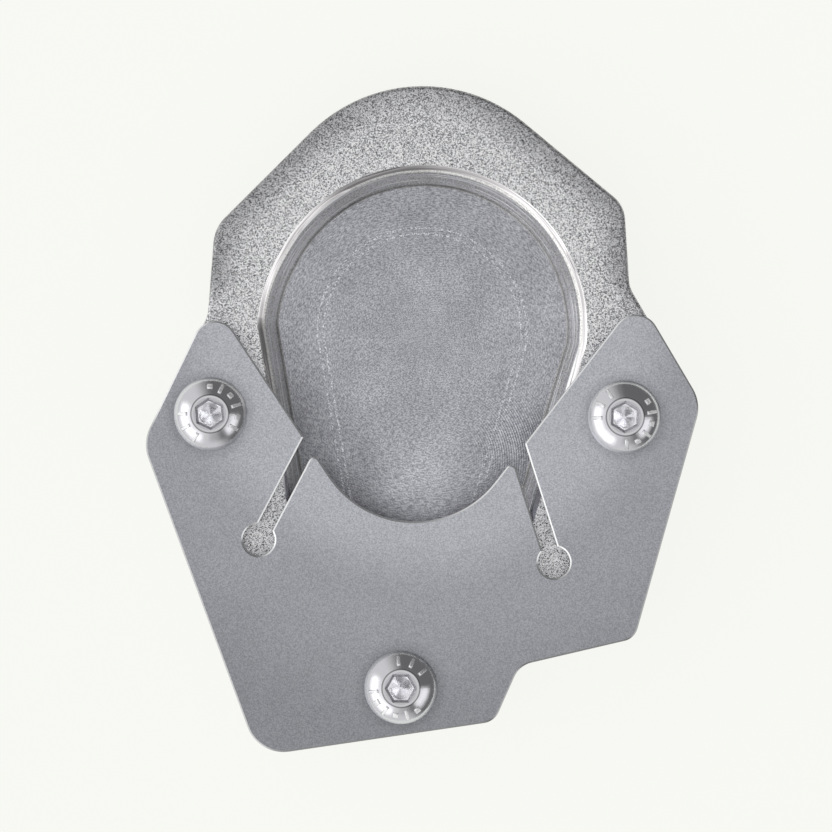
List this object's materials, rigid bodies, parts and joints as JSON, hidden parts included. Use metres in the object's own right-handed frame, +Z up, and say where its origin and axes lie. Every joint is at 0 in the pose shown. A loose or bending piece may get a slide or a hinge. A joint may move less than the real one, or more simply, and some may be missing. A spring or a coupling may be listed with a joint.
{
  "type": "kickstand foot enlarger",
  "caption": "Wide foot plate for a motorbike side stand: aluminium base with a round foot pocket, and a screwed steel clamp plate with a V notch and relief slots.",
  "frame": {"origin": "middle of the round part of the foot pocket, on the ground face", "axes": "+Z up from the ground face through the clamp plate; +Y from the clamp plate's lower screw to the base's round head; +X to the right seen from above"},
  "size_m": [0.0718, 0.0868, 0.0143],
  "materials": {
    "blasted_aluminium": "coarse bead blasted outside, fine milled in the pocket",
    "satin_stainless": "tumbled satin",
    "polished_stainless": "bright polished"
  },
  "bodies": {
    "root": {"foot_base": "blasted_aluminium", "clamp_plate": "satin_stainless", "left_screw": "polished_stainless", "right_screw": "polished_stainless", "lower_screw": "polished_stainless"}
  },
  "joints": []
}
